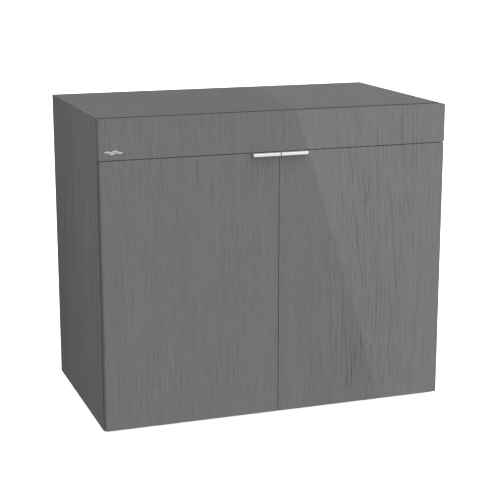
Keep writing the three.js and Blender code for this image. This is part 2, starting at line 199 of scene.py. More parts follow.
AXES = "XYZ"
X_AXIS, Y_AXIS, Z_AXIS = range(3)
COOL_GREY = srgb(100, 102, 101)
PLAIN_GREY = srgb(101, 101, 101)
WARM_GREY = srgb(102, 101.5, 100)
GREEN_TINT = (0.98, 1.08, 0.92)
# Black painted shade for the gap behind the fascia's top edge
GAP_SHADE_BLACK = (0.006, 0.006, 0.006)
OUTSIDE_X = TOP_HIGH.x - 5 * MM  # beyond this lie the outer faces of the cabinet's sides
OUTER_GLOSS = 0.7
INNER_GLOSS = 0.15

MEAN_TONE = 1.09
SWAY = 0.035  # metres by which the grain wanders
LEAN = 0.11  # sideways for each metre along the grain
LEAN_CENTRE = 0.35  # metres along the grain, where leaning grain is not moved aside
GROWTH_LINES = 96  # for each metre across the grain
GROWTH_DRIFT = 7  # lines by which they wander


def wood_laminate(
    name, grain_axis, gloss, figured=0.0, tint=None, streaks=0.07, contrast=1.0, shade_band=0.0,
):
    """Straight grey grain under lacquer, with long leaning pores where the board is figured.

    The tint is for faces on the cabinet's two sides. Streaks are a little wider than the
    fine grain. A shade band is a black strip of the given width along the board's front edge,
    without lacquer. It is painted shade for the dark gap behind the fascia's top edge.
    """
    material, graph, shader = new_material(name)
    place = graph.node("ShaderNodeTexCoord").outputs["Object"]
    split = graph.node("ShaderNodeSeparateXYZ", {0: place})
    across = split.outputs["X"]
    off_floor = graph.remap(split.outputs["Z"], 0.1, 0.42)

    def along(with_grain, across_grain):
        """A scale vector, per metre along the grain and across it."""
        return [with_grain if axis == grain_axis else across_grain for axis in range(3)]

    def grain_noise(where, with_grain, across_grain, detail=2.0, roughness=0.5):
        return graph.stretched_noise(where, along(with_grain, across_grain), detail, roughness)

    # The figure is strongest toward the right of the front, and stronger near the floor.
    figure = graph.product(
        graph.remap(across, 0.04, 0.2, 0.0, figured),
        graph.remap(across, 0.33, 0.385, 1.0, 0.4),
        graph.remap(grain_noise(place, 1.4, 12), 0.35, 0.6, 0.65, 1.1),
        graph.remap(off_floor, 0.0, 1.0, 1.2, 1.0),
    )

    # The grain sways slowly, and leans where the board is figured.
    sway = graph.node("ShaderNodeTexNoise", {
        "Vector": graph.vector("MULTIPLY", place, along(1.2, 3)).outputs[0],
        "Scale": 1.0, "Detail": 1.0,
    }).outputs["Color"]
    centred = graph.vector("SUBTRACT", sway, (0.5, 0.5, 0.5)).outputs[0]
    swayed = graph.node("ShaderNodeVectorMath", {0: centred, "Scale": SWAY}, operation="SCALE")
    slant = graph.product(
        graph.remap(across, 0.02, 0.15, 0.0, LEAN),
        graph.remap(across, 0.2, 0.33, 1.0, 0.3),
        graph.remap(off_floor, 0.0, 1.0, 0.3, 1.0),
    )
    height = graph.math("SUBTRACT", split.outputs[AXES[grain_axis]], LEAN_CENTRE)
    aside = graph.node("ShaderNodeCombineXYZ", {"X": graph.product(height, slant)})
    grain_place = graph.vector("ADD", place, swayed.outputs[0]).outputs[0]
    grain_place = graph.vector("ADD", grain_place, aside.outputs[0]).outputs[0]

    fine = grain_noise(grain_place, 2.6, 520, 3, 0.85)
    dashes = grain_noise(grain_place, 30, 760, 2, 0.6)
    middle = grain_noise(grain_place, 1.6, 130, 1)
    broad = grain_noise(place, 0.8, 16, 1)
    pores = graph.remap(grain_noise(grain_place, 14, 600, 1), 0.57, 0.72)
    long_pores = graph.remap(grain_noise(grain_place, 9, 520, 1), 0.58, 0.72)

    # Growth lines: thin dark lines side by side, each of which fades in and out.
    flat = graph.node("ShaderNodeSeparateXYZ", {0: grain_place}).outputs
    sideways = graph.weighted_sum(0.0, [
        (flat[AXES[axis]], GROWTH_LINES) for axis in range(3) if axis != grain_axis
    ])
    drift = grain_noise(grain_place, 0.9, 11)
    phase = graph.math("ADD", sideways, graph.product(drift, GROWTH_DRIFT))
    ring = graph.math("ABSOLUTE", graph.math("SUBTRACT", graph.math("FRACT", phase), 0.5))
    line = graph.remap(ring, 0.06, 0.015)
    breaks = graph.remap(grain_noise(grain_place, 1.5, 125), 0.50, 0.64)
    dark = graph.math("MAXIMUM", graph.product(line, breaks), graph.product(long_pores, 0.45))
    depth = graph.product(dark, graph.remap(figure, 0.0, 1.5, 0.1, 1.5))

    # A faint mottle crosses the grain near the middle of the front.
    from_middle = graph.math("ABSOLUTE", across)
    mottle = graph.product(
        graph.remap(from_middle, 0.1, 0.03, 0.0, figured),
        graph.math("SUBTRACT", grain_noise(place, 170, 70, 3, 0.6), 0.5),
    )

    layers = [(fine, 0.74), (dashes, 0.3), (middle, streaks), (broad, 0.04)]
    layers = [(value, weight * contrast) for value, weight in layers]
    start = MEAN_TONE - 0.5 * sum(weight for _, weight in layers)
    marks = [(pores, -0.2 * contrast), (depth, -0.68), (mottle, 0.26)]
    tone = graph.weighted_sum(start, layers + marks)
    hue = grain_noise(place, 1.1, 7, 1)
    grey = graph.ramp(hue, [(0.36, COOL_GREY), (0.5, PLAIN_GREY), (0.64, WARM_GREY)])
    if tint:
        outside = graph.math("GREATER_THAN", from_middle, OUTSIDE_X)
        tinted = graph.vector("MULTIPLY", grey, tint).outputs[0]
        grey = graph.mix_colour(outside, grey, tinted)
    colour = graph.node(
        "ShaderNodeVectorMath", {0: grey, "Scale": tone}, operation="SCALE",
    ).outputs[0]
    coat = gloss
    # Painted shade: the strip along the front edge is black and has no lacquer coat, so it reads as the
    # shadow in the gap behind the fascia even at grazing angles
    if shade_band:
        in_shade_band = graph.math("LESS_THAN", split.outputs["Y"], TOP_LOW.y + shade_band)
        colour = graph.mix_colour(in_shade_band, colour, GAP_SHADE_BLACK)
        coat = graph.product(graph.math("SUBTRACT", 1.0, in_shade_band), gloss)
    relief = graph.weighted_sum(0.0, [(fine, 0.5), (pores, -0.5), (depth, -0.6)])
    set_shader(
        graph, shader,
        Base_Color=colour,
        Roughness=graph.remap(fine, 0.3, 0.7, 0.42, 0.52),
        Normal=bump(graph, relief, 0.25, 0.0004),
        Specular_IOR_Level=0.25,
        Coat_Weight=coat,
        Coat_Roughness=0.02,
    )
    return material


FRONT_LAMINATE = wood_laminate("front_laminate", Z_AXIS, OUTER_GLOSS, figured=1.0)
SIDE_LAMINATE = wood_laminate(
    "side_laminate", Z_AXIS, OUTER_GLOSS, figured=0.3, tint=GREEN_TINT, streaks=0.6, contrast=1.8,
)
BACK_LAMINATE = wood_laminate("back_laminate", Z_AXIS, OUTER_GLOSS, figured=0.3)
# The top's front edge gets a 6 mm black strip of painted shade where the gap behind the fascia lies in
# shadow
TOP_LAMINATE = wood_laminate(
    "top_laminate", Y_AXIS, OUTER_GLOSS, figured=0.4, streaks=0.25, contrast=1.3, shade_band=6 * MM,
)
INNER_UPRIGHT = wood_laminate("inner_laminate_upright", Z_AXIS, INNER_GLOSS)
INNER_LEVEL = wood_laminate("inner_laminate_level", X_AXIS, INNER_GLOSS)
INNER_DEEP = wood_laminate("inner_laminate_deep", Y_AXIS, INNER_GLOSS)

BOARD_MATERIALS = {
    "left_side_panel": SIDE_LAMINATE,
    "right_side_panel": SIDE_LAMINATE,
    "back_panel": BACK_LAMINATE,
    "top_panel": TOP_LAMINATE,
    "fascia": FRONT_LAMINATE,
    "left_door_panel": FRONT_LAMINATE,
    "right_door_panel": FRONT_LAMINATE,
    "centre_partition": INNER_UPRIGHT,
    "bottom_panel": INNER_LEVEL,
    "shelf": INNER_LEVEL,
    "front_top_rail": INNER_LEVEL,
    "plinth_front_rail": INNER_LEVEL,
    "plinth_centre_support": INNER_DEEP,
}


# ---------------------------------------------------------------- metals, plastic, rubber

def brushed_aluminium():
    """Satin strip, brushed along its length."""
    material, graph, shader = new_material("brushed_aluminium")
    place = graph.node("ShaderNodeTexCoord").outputs["Object"]
    lines = graph.stretched_noise(place, (30, 2600, 2600), 3, 0.6)
    cloud = graph.stretched_noise(place, (60, 60, 60), 2)
    stops = [(0.3, (0.80, 0.80, 0.81)), (0.7, (0.90, 0.90, 0.90))]
    set_shader(
        graph, shader,
        Base_Color=graph.ramp(lines, stops),
        Metallic=0.75,
        Roughness=graph.remap(cloud, 0.3, 0.7, 0.26, 0.36),
        Normal=bump(graph, lines, 0.12, 0.0001),
        Anisotropic=0.5,
    )
    return material


def plated_steel(name, light, dark, roughness, grain):
    """Plated or cast metal with soft cloudy variation and a fine grain."""
    material, graph, shader = new_material(name)
    place = graph.node("ShaderNodeTexCoord").outputs["Object"]
    cloud = graph.stretched_noise(place, (140, 140, 140), 3, 0.6)
    speck = graph.stretched_noise(place, (grain, grain, grain), 2)
    set_shader(
        graph, shader,
        Base_Color=graph.ramp(cloud, [(0.35, dark), (0.65, light)]),
        Metallic=0.82,
        Roughness=graph.remap(cloud, 0.3, 0.7, roughness, roughness + 0.12),
        Normal=bump(graph, speck, 0.1, 0.0002),
    )
    return material


def moulded_plastic(name, colour, roughness, texture):
    """Plastic with a fine eroded texture."""
    material, graph, shader = new_material(name)
    place = graph.node("ShaderNodeTexCoord").outputs["Object"]
    speck = graph.stretched_noise(place, (texture, texture, texture), 3, 0.6)
    lighter = tuple(min(1.0, value * 1.25 + 0.004) for value in colour)
    set_shader(
        graph, shader,
        Base_Color=graph.ramp(speck, [(0.35, colour), (0.7, lighter)]),
        Roughness=graph.remap(speck, 0.3, 0.7, roughness - 0.06, roughness + 0.08),
        Normal=bump(graph, speck, 0.2, 0.0002),
    )
    return material


def clear_rubber():
    """Translucent soft polyurethane."""
    material, graph, shader = new_material("clear_rubber")
    place = graph.node("ShaderNodeTexCoord").outputs["Object"]
    haze = graph.stretched_noise(place, (500, 500, 500), 2)
    set_shader(
        graph, shader,
        Base_Color=graph.ramp(haze, [(0.3, (0.78, 0.79, 0.76)), (0.7, (0.9, 0.91, 0.88))]),
        Roughness=graph.remap(haze, 0.3, 0.7, 0.18, 0.3),
        Transmission_Weight=0.55,
        IOR=1.46,
    )
    return material


ALUMINIUM = brushed_aluminium()
STEEL = plated_steel("nickel_plated_steel", (0.80, 0.79, 0.77), (0.70, 0.69, 0.68), 0.26, 1500)
ZINC = plated_steel("cast_zinc", (0.50, 0.50, 0.48), (0.36, 0.36, 0.35), 0.42, 2600)
BLACK_PLASTIC = moulded_plastic("black_plastic", (0.012, 0.012, 0.013), 0.5, 1800)
BADGE_WHITE = moulded_plastic("badge_white", (0.86, 0.86, 0.84), 0.32, 900)
RUBBER = clear_rubber()

SLOT_MATERIALS = {
    "aluminium": ALUMINIUM,
    "steel": STEEL,
    "zinc": ZINC,
    "black_plastic": BLACK_PLASTIC,
    "badge": BADGE_WHITE,
    "bumper": RUBBER,
}


# ---------------------------------------------------------------- CAD nodes

WELD_DISTANCE = 0.01 * MM
BOARD_EASE = 0.25 * MM
FITTING_EASE = 0.15 * MM


def ease_edges(obj, width, segments, angle):
    """Rounds the edges that are sharper than the angle, in degrees."""
    ease = obj.modifiers.new("ease", "BEVEL")
    ease.width = width
    ease.segments = segments
    ease.limit_method = "ANGLE"
    ease.angle_limit = math.radians(angle)
    ease.harden_normals = True


def dress(node, material, ease):
    """Gives a CAD node its material and eased edges."""
    obj = nodes[node]
    obj.data.materials.clear()
    obj.data.materials.append(material)
    weld = obj.modifiers.new("weld", "WELD")
    weld.merge_threshold = WELD_DISTANCE
    ease_edges(obj, ease, segments=2, angle=38)


node_slots = {entry["node"]: entry["material_slot"] for entry in frame["record"]["subparts"]}
for node in nodes:
    if node in BOARD_MATERIALS:
        dress(node, BOARD_MATERIALS[node], BOARD_EASE)
    else:
        dress(node, SLOT_MATERIALS[node_slots[node]], FITTING_EASE)


# ---------------------------------------------------------------- new pieces

def add_piece(name, mesh_builder, material, body, bevel=0.0, crease=35):
    """Makes a mesh object from mesh_builder(bmesh) that rides on a body."""
    bm = bmesh.new()
    mesh_builder(bm)
    bmesh.ops.remove_doubles(bm, verts=bm.verts, dist=0.001 * MM)
    bmesh.ops.recalc_face_normals(bm, faces=bm.faces)
    mesh = bpy.data.meshes.new(name)
    bm.to_mesh(mesh)
    bm.free()
    mesh.shade_smooth()
    mesh.set_sharp_from_angle(angle=math.radians(crease))
    mesh.materials.append(material)
    obj = bpy.data.objects.new(name, mesh)
    bpy.context.scene.collection.objects.link(obj)
    if bevel:
        ease_edges(obj, bevel, segments=3, angle=crease)
    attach(obj, body)
    return obj


def skin(bm, loops, closed_along=False):
    """Faces between successive closed loops of the same number of points."""
    rings = [[bm.verts.new(point) for point in loop] for loop in loops]
    pairs = list(zip(rings, rings[1:]))
    if closed_along:
        pairs.append((rings[-1], rings[0]))
    for low, high in pairs:
        count = len(low)
        for i in range(count):
            j = (i + 1) % count
            bm.faces.new((low[i], low[j], high[j], high[i]))
    return rings


def capped_loft(bm, loops):
    """A closed body through loops, with flat ends."""
    rings = skin(bm, loops)
    bm.faces.new(rings[0])
    bm.faces.new(rings[-1])


def circle(segments):
    """Angles in radians, evenly spaced round a full turn."""
    return [2 * math.pi * i / segments for i in range(segments)]


def arc(centre, radius, start, end, steps):
    """Points (a, b) on an arc, with angles in degrees."""
    points = []
    for i in range(steps + 1):
        angle = math.radians(start + (end - start) * i / steps)
        points.append((
            centre[0] + radius * math.cos(angle), centre[1] + radius * math.sin(angle),
        ))
    return points


def rounded_outline(half_a, half_b, radius, steps=8):
    """A centred rectangle with round corners, as (a, b)."""
    points = []
    for quarter, (sa, sb) in enumerate(((1, 1), (-1, 1), (-1, -1), (1, -1))):
        centre = (sa * (half_a - radius), sb * (half_b - radius))
        points += arc(centre, radius, 90 * quarter, 90 * quarter + 90, steps)
    return points


def axis_frame(axis):
    """A rotation that takes +Z to the given axis."""
    return Vector(axis).to_track_quat("Z", "Y").to_matrix().to_4x4()


def outer_and_inner_x(node, side):
    """Where a node's faces away from the cabinet's middle and toward it lie in x."""
    low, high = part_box(node)
    return (low.x, high.x) if SIDES[side] > 0 else (high.x, low.x)


# Pan-head screws with a cross recess.

HEAD_PROFILE = (  # shares of the head's radius and height, from the seat to the top
    (1.0, 0.0), (1.0, 0.45), (0.94, 0.72), (0.8, 0.9), (0.62, 0.97), (0.46, 1.0), (0.3, 1.0),
    (0.14, 1.0),
)
CROSS_HALF = 0.13  # half an arm's width and its reach, as shares of the head's radius
CROSS_REACH = 0.5
CROSS_DEPTH = 0.55  # share of the head's height
THREAD_PITCH = 1.2 * MM
THREAD_ROOT = 0.72  # root and tip as shares of the shank's radius
SHANK_TIP = 0.3
SCREW_SEGMENTS = 32


def screw(bm, place, axis, radius, height, shank_radius, shank_length):
    """A domed head whose seat is at place and whose top points along axis, and its shank."""
    turn = Matrix.Translation(place) @ axis_frame(axis)

    def ring(ring_radius, z, recess=0.0):
        """A loop round the axis, sunk by the recess where the cross is."""
        points = []
        for angle in circle(SCREW_SEGMENTS):
            x, y = ring_radius * math.cos(angle), ring_radius * math.sin(angle)
            in_arm = min(abs(x), abs(y)) < CROSS_HALF * radius
            sunk = in_arm and math.hypot(x, y) < CROSS_REACH * radius
            points.append(turn @ Vector((x, y, z - (recess if sunk else 0.0))))
        return points

    loops = []
    if shank_length:
        steps = 2 * round(shank_length / THREAD_PITCH)
        loops.append(ring(SHANK_TIP * shank_radius, -shank_length))
        for i in range(1, steps):
            share = 1.0 if i % 2 else THREAD_ROOT
            loops.append(ring(share * shank_radius, -shank_length * (1 - i / steps)))
        loops.append(ring(THREAD_ROOT * shank_radius, 0.0))
    for share, rise in HEAD_PROFILE:
        loops.append(ring(share * radius, rise * height, CROSS_DEPTH * height))
    capped_loft(bm, loops)


def add_screw(name, place, axis, radius, height, body, shank_radius=0.0, shank_length=0.0):
    def build(bm):
        screw(bm, Vector(place), axis, radius, height, shank_radius, shank_length)
    return add_piece(name, build, STEEL, body)


# ---------------------------------------------------------------- pulls

PULL_SHEET = 1.2 * MM
PULL_LIP = 6.8 * MM
PULL_BEND = 1.9 * MM
PULL_CORNER = 2.4 * MM
PULL_SCREW_HEAD = 1.2 * MM  # height
PULL_SCREW_SHANK = 1.5 * MM  # radius


def strip_path(back_y, front_y, foot_z, top_z, lip_z):
    """Outer line of the bent strip: up the door's back, over its top, down the lip."""
    path = [Vector((0, back_y, foot_z))]
    bend_steps = 6
    for centre_y, start in ((back_y - PULL_BEND, 0.0), (front_y + PULL_BEND, math.pi / 2)):
        for i in range(bend_steps + 1):
            angle = start + math.pi / 2 * i / bend_steps
            rise = PULL_BEND * math.sin(angle)
            y = centre_y + PULL_BEND * math.cos(angle)
            path.append(Vector((0, y, top_z - PULL_BEND + rise)))
    lip_steps = 10
    lip_start = path[-1].z
    for i in range(1, lip_steps + 1):
        path.append(Vector((0, front_y, lip_start + (lip_z - lip_start) * i / lip_steps)))
    return path


def build_pull(side):
    """A strip bent over the door's top edge, with rounded corners at its outer end."""
    low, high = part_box(f"{side}_pull")
    outer_x, inner_x = outer_and_inner_x(f"{side}_pull", side)
    lip_z = high.z - PULL_LIP
    columns = 12
    path = strip_path(high.y, low.y, low.z, high.z, lip_z)

    def build(bm):
        rows = []
        for point in path:
            near_lip_end = PULL_CORNER - (point.z - lip_z) if point.y == low.y else 0.0
            near_foot = PULL_CORNER - (point.z - low.z) if point.y == high.y else 0.0
            depth = max(near_lip_end, near_foot, 0.0)
            cut = PULL_CORNER - math.sqrt(max(0.0, PULL_CORNER ** 2 - depth ** 2))
            start_x = outer_x + SIDES[side] * cut
            row = []
            for i in range(columns + 1):
                x = start_x + (inner_x - start_x) * i / columns
                row.append(bm.verts.new((x, point.y, point.z)))
            rows.append(row)
        for upper, lower in zip(rows, rows[1:]):
            for i in range(columns):
                bm.faces.new((upper[i], upper[i + 1], lower[i + 1], lower[i]))

    obj = add_piece(f"{side}_edge_pull", build, ALUMINIUM, f"{side}_door")
    sheet = obj.modifiers.new("sheet", "SOLIDIFY")
    sheet.thickness = PULL_SHEET
    sheet.offset = -1
    ease_edges(obj, 0.35 * MM, segments=3, angle=50)
    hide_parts(f"{side}_pull")


def build_pull_screw(side, number):
    node = f"{side}_pull_screw_{number}"
    low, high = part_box(node)
    seat_y = high.y - PULL_SCREW_HEAD
    obj = add_screw(
        f"{side}_pull_pan_screw_{number}",
        ((low.x + high.x) / 2, seat_y, (low.z + high.z) / 2), (0, 1, 0),
        (high.x - low.x) / 2, PULL_SCREW_HEAD, f"{side}_door",
        shank_radius=PULL_SCREW_SHANK, shank_length=seat_y - low.y,
    )
    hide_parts(node)


for side in SIDES:
    build_pull(side)
    for number in (1, 2):
        build_pull_screw(side, number)


# ---------------------------------------------------------------- badge

RIPPLE_SWING = 1.6 * MM
RIPPLES_APART = 2.2 * MM  # from the badge's middle line to either ripple
RIPPLE_THIN = 0.25 * MM  # half the thickness at the ends, and what is added in the middle
RIPPLE_SWELL = 0.45 * MM


def build_badge():
    """Two ripples that run together at both ends, standing just proud of the fascia."""
    low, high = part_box("wave_badge")
    middle = (low.z + high.z) / 2
    length = high.x - low.x
    steps = 64

    def ripple(bm, offset):
        loops = []
        for i in range(steps + 1):
            share = i / steps
            swell = math.sin(math.pi * share)
            centre = RIPPLE_SWING * math.sin(4 * math.pi * share)
            centre += offset * RIPPLES_APART * swell
            half = RIPPLE_THIN + RIPPLE_SWELL * swell
            x = low.x + length * share
            loops.append([
                Vector((x, y, middle + centre + up * half))
                for y, up in ((low.y, -1), (low.y, 1), (FRONT_FACE_Y, 1), (FRONT_FACE_Y, -1))
            ])
        capped_loft(bm, loops)

    for number, offset in enumerate((-1, 1), start=1):
        obj = add_piece(
            f"badge_ripple_{number}", lambda bm: ripple(bm, offset), BADGE_WHITE,
            "carcass", bevel=0.12 * MM,
        )
        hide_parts("wave_badge")


build_badge()


# ---------------------------------------------------------------- hose port trims

TRIM_FLANGE = 5.3  # mm by which the flange reaches past the sleeve
TRIM_RADIUS = 19.7  # mm, of the sleeve's corners


def build_port_trim(side):
    """A moulded liner with a rounded flange on the inside of the cabinet."""
    node = f"{side}_hose_port_trim"
    low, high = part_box(node)
    centre = (low + high) / 2
    half_x = (high.x - low.x) / 2 - TRIM_FLANGE * MM
    half_z = (high.z - low.z) / 2 - TRIM_FLANGE * MM
    front, back = low.y, high.y
    section = [  # mm outward from the sleeve's outer face, and y
        (-2.0, back), (-0.4, back), (0.0, back - 0.4 * MM), (0.0, front + 1.5 * MM),
        (TRIM_FLANGE - 0.4, front + 1.5 * MM), (TRIM_FLANGE, front + 1.1 * MM),
        (TRIM_FLANGE, front + 0.6 * MM), (TRIM_FLANGE - 0.6, front),
        (-1.4, front), (-2.0, front + 0.6 * MM),
    ]

    def build(bm):
        loops = []
        for out, y in section:
            radius = (TRIM_RADIUS + out) * MM
            outline = rounded_outline(half_x + out * MM, half_z + out * MM, radius, 12)
            loops.append([Vector((centre.x + a, y, centre.z + b)) for a, b in outline])
        skin(bm, loops, closed_along=True)

    obj = add_piece(
        f"{side}_port_liner", build, BLACK_PLASTIC, "carcass", crease=50,
    )
    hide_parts(node)


for side in SIDES:
    build_port_trim(side)


# ---------------------------------------------------------------- bumpers

DOME_ANGLE = 0.93 * math.pi / 2  # the dome stops short of its pole, with a small flat top


def build_bumper(side, place):
    """A soft dome stuck to the back of the door."""
    node = f"{side}_{place}_bumper"
    low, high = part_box(node)
    centre = (low + high) / 2
    radius, height = (high.x - low.x) / 2, high.y - low.y
    steps = 8

    def build(bm):
        loops = []
        for i in range(steps + 1):
            climb = DOME_ANGLE * i / steps
            ring, y = radius * math.cos(climb), low.y + height * math.sin(climb)
            loops.append([
                Vector((centre.x + ring * math.cos(turn), y, centre.z + ring * math.sin(turn)))
                for turn in circle(32)
            ])
        capped_loft(bm, loops)

    obj = add_piece(
        f"{side}_{place}_bumper_dome", build, RUBBER, f"{side}_door", crease=60,
    )
    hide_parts(node)


for side in SIDES:
    for place in PLACES:
        build_bumper(side, place)


# ---------------------------------------------------------------- hinges, with lengths in mm

KNUCKLE_RADIUS = 2.3
PIN_SLACK = 0.3
NECK_HALF = 4.0
NECK_EDGE = 0.8
NECK_RADIUS = 3.6
CHANNEL_START = 15.2  # from the pin into the cabinet
CHANNEL_ROUND = 1.4
CHANNEL_END_DROP = 3.2  # the walls' depth at the channel's ends, and what is added between
CHANNEL_MORE_DROP = 3.3
ARM_SHEET = 1.5


def channel_section(half, drop):
    """A pressed channel seen along its length, as (w, depth below the web's outer face)."""
    outer = CHANNEL_ROUND
    inner = 0.2
    inside = half - ARM_SHEET
    floor_depth = ARM_SHEET + inner
    return [
        (-half, drop), *arc((-half + outer, outer), outer, 180, 270, 5),
        *arc((half - outer, outer), outer, 270, 360, 5), (half, drop),
        (inside, drop), *arc((inside - inner, floor_depth), inner, 0, -90, 4),
        *arc((-inside + inner, floor_depth), inner, 270, 180, 4), (-inside, drop),
    ]


def build_hinge_arm(side, place):
    """A knuckle on the pin, a goose neck round the door's edge, and a pressed channel."""
    inward = SIDES[side]
    node = f"{side}_{place}_hinge_arm"
    low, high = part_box(node)
    pin_low, pin_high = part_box(f"{side}_{place}_hinge_pin")
    pin = (pin_low + pin_high) / 2
    pin_radius = (pin_high.x - pin_low.x) / 2 / MM
    top = inward * (outer_and_inner_x(node, side)[1] - pin.x) / MM
    back = (high.y - pin.y) / MM
    half = (high.z - low.z) / 2 / MM

    def world(u, v, w):
        """u inward from the pin, v into the cabinet from it, w up."""
        return Vector((pin.x + inward * u * MM, pin.y + v * MM, pin.z + w * MM))

    def knuckle(bm):
        outer, inner = KNUCKLE_RADIUS, pin_radius + PIN_SLACK
        section = [
            (outer, NECK_HALF - 0.5), (outer - 0.5, NECK_HALF), (inner, NECK_HALF),
            (inner, -NECK_HALF), (outer - 0.5, -NECK_HALF), (outer, -NECK_HALF + 0.5),
        ]
        loops = [
            [world(radius * math.cos(turn), radius * math.sin(turn), w) for radius, w in section]
            for turn in circle(28)
        ]
        skin(bm, loops, closed_along=True)

    def neck(bm):
        """A bar whose centre line turns once, from under the pin to the channel's end."""
        line = [(1.8, -0.7), (5.5, -0.7)]
        line += arc((top - 10.5, 2.9), NECK_RADIUS, -90, 0, 8)
        line += [(top - 6.6, 9.0), (top - 5.2, 12.5), (top - 3.6, 15.6), (top - 1.9, 18.6)]
        loops = []
        for i, (u, v) in enumerate(line):
            before, after = line[max(0, i - 1)], line[min(len(line) - 1, i + 1)]
            along = Vector((after[0] - before[0], after[1] - before[1])).normalized()
            normal = Vector((along.y, -along.x))
            share = i / (len(line) - 1)
            thick = 1.5 if share > 0 else 1.1
            wide = NECK_HALF + (half - 2.4 - NECK_HALF) * max(0.0, share - 0.6) / 0.4
            edge = NECK_EDGE
            loops.append([
                world(u + normal.x * t, v + normal.y * t, w)
                for t, w in (
                    (thick, wide - edge), (thick - edge, wide), (edge - thick, wide),
                    (-thick, wide - edge), (-thick, edge - wide), (edge - thick, -wide),
                    (thick - edge, -wide), (thick, edge - wide),
                )
            ])
        capped_loft(bm, loops)

    def channel(bm):
        """The channel's walls are low at its two ends and deepest between them."""
        loops = []
        for share in (0.0, 0.02, 0.06, 0.12, 0.2, 0.35, 0.5, 0.65, 0.8, 0.9, 0.96, 1.0):
            from_end = min(share, 1 - share)
            drop = CHANNEL_END_DROP + CHANNEL_MORE_DROP * min(1.0, from_end / 0.12)
            round_off = 1.5 * max(0.0, 1 - from_end / 0.03)
            v = CHANNEL_START + (back - CHANNEL_START) * share
            section = channel_section(half - round_off, drop)
            loops.append([world(top - depth, v, w) for w, depth in section])
        capped_loft(bm, loops)

    for part, builder in (("knuckle", knuckle), ("neck", neck), ("channel", channel)):
        obj = add_piece(
            f"{side}_{place}_arm_{part}", builder, STEEL, "carcass", bevel=0.2 * MM,
        )
        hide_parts(node)


WING_RISE = 2.5  # from the side panel
WING_MIDDLE = 15.0  # from the plate's front end
WING_HALF = 7.0
WING_RADIUS = 6.6
BLOCK_HALF = 6.5
BLOCK_RADIUS = 2.0


def build_hinge_plate(side, place):
    """A round-ended wing with a raised block on it."""
    node = f"{side}_{place}_hinge_plate"
    low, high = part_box(node)
    centre = (low + high) / 2
    face_x = outer_and_inner_x(node, side)[0]
    half_y, half_z = (high.y - low.y) / 2, (high.z - low.z) / 2

    def tier(bm, middle_y, half_a, half_b, radius, rise, chamfer):
        loops = []
        for depth, inset in ((0.0, 0.0), (rise - chamfer, 0.0), (rise, chamfer)):
            outline = rounded_outline(half_a - inset, half_b - inset, radius - inset)
            loops.append([
                Vector((face_x + SIDES[side] * depth, middle_y + a, centre.z + b))
                for a, b in outline
            ])
        capped_loft(bm, loops)

    def wing(bm):
        middle_y = low.y + WING_MIDDLE * MM
        tier(
            bm, middle_y, WING_HALF * MM, half_z, WING_RADIUS * MM, WING_RISE * MM, 0.5 * MM,
        )

    def block(bm):
        tier(
            bm, centre.y, half_y, BLOCK_HALF * MM, BLOCK_RADIUS * MM, high.x - low.x, 0.6 * MM,
        )

    for part, builder in (("wing", wing), ("block", block)):
        obj = add_piece(
            f"{side}_{place}_plate_{part}", builder, STEEL, "carcass", bevel=0.15 * MM,
        )
        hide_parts(node)


EAR_ANGLE = 66.0  # from inward, in degrees
EAR_SPREAD = 21.0  # half an ear's width, in degrees
EAR_REACH = 10.0
RIM = 0.5
EAR_SCREW = (9.5, 21.5)  # inward and up or down from the cup's axis
LUG_RADIUS = 2.6
LUG_ENDS = (NECK_HALF + 0.6, 8.0)  # up or down from the pin's middle


def build_hinge_cup(side, place):
    """A drawn cup with an eared flange, and two lugs inside it that hold the pin."""
    inward = SIDES[side]
    node = f"{side}_{place}_hinge_cup"
    low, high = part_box(node)
    centre = (low + high) / 2
    pin_low, pin_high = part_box(f"{side}_{place}_hinge_pin")
    pin = (pin_low + pin_high) / 2
    depth = (high.y - low.y) / MM
    outer = (high.x - low.x) / 2 / MM
    inner = outer - 1
    segments = 96

    def flange_radius(degrees):
        """The round rim, with one ear above the axis and one below it."""
        turn = min(abs(abs(degrees) - EAR_ANGLE) / EAR_SPREAD, 1.0)
        return outer + RIM + EAR_REACH * (1 - turn * turn * (3 - 2 * turn))

    def shell(bm):
        profile = [  # radius, or None on the flange's edge, and the height from the bottom
            (outer - 1.6, 0.0), (outer - 0.5, 0.4), (outer, 1.5), (outer, depth - 1.0),
            (None, depth - 1.0), (None, depth), (inner + 0.4, depth), (inner, depth - 0.4),
            (inner, 2.0), (inner - 0.4, 1.2), (inner - 1.4, 0.8),
        ]
        loops = []
        for radius, height in profile:
            loop = []
            for i in range(segments):
                degrees = 360 * i / segments - 180
                reach = flange_radius(degrees) if radius is None else radius
                angle = math.radians(degrees)
                loop.append(Vector((
                    centre.x + inward * reach * math.cos(angle) * MM,
                    low.y + height * MM,
                    centre.z + reach * math.sin(angle) * MM,
                )))
            loops.append(loop)
        capped_loft(bm, loops)

    def lugs(bm):
        foot = (low.y - pin.y) / MM + 0.3
        top = reversed(arc((0, 0), LUG_RADIUS, 0, 180, 12))
        outline = [(-LUG_RADIUS, foot), *top, (LUG_RADIUS, foot)]
        for way in (1, -1):
            capped_loft(bm, [
                [
                    Vector((pin.x + inward * u * MM, pin.y + v * MM, pin.z + way * w * MM))
                    for u, v in outline
                ]
                for w in LUG_ENDS
            ])

    for part, builder in (("shell", shell), ("lugs", lugs)):
        obj = add_piece(
            f"{side}_{place}_cup_{part}", builder, STEEL, f"{side}_door",
            bevel=0.12 * MM,
        )
        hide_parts(node)


for side in SIDES:
    for place in PLACES:
        build_hinge_arm(side, place)
        build_hinge_plate(side, place)
        build_hinge_cup(side, place)


# ---------------------------------------------------------------- fixing screws

PLATE_SCREW_Z = 19 * MM  # up or down from the hinge's middle
ARM_SCREW_MIDDLE = 30 * MM  # from the arm's back end to halfway between its two screws
ARM_SCREW_HALF = 19 * MM


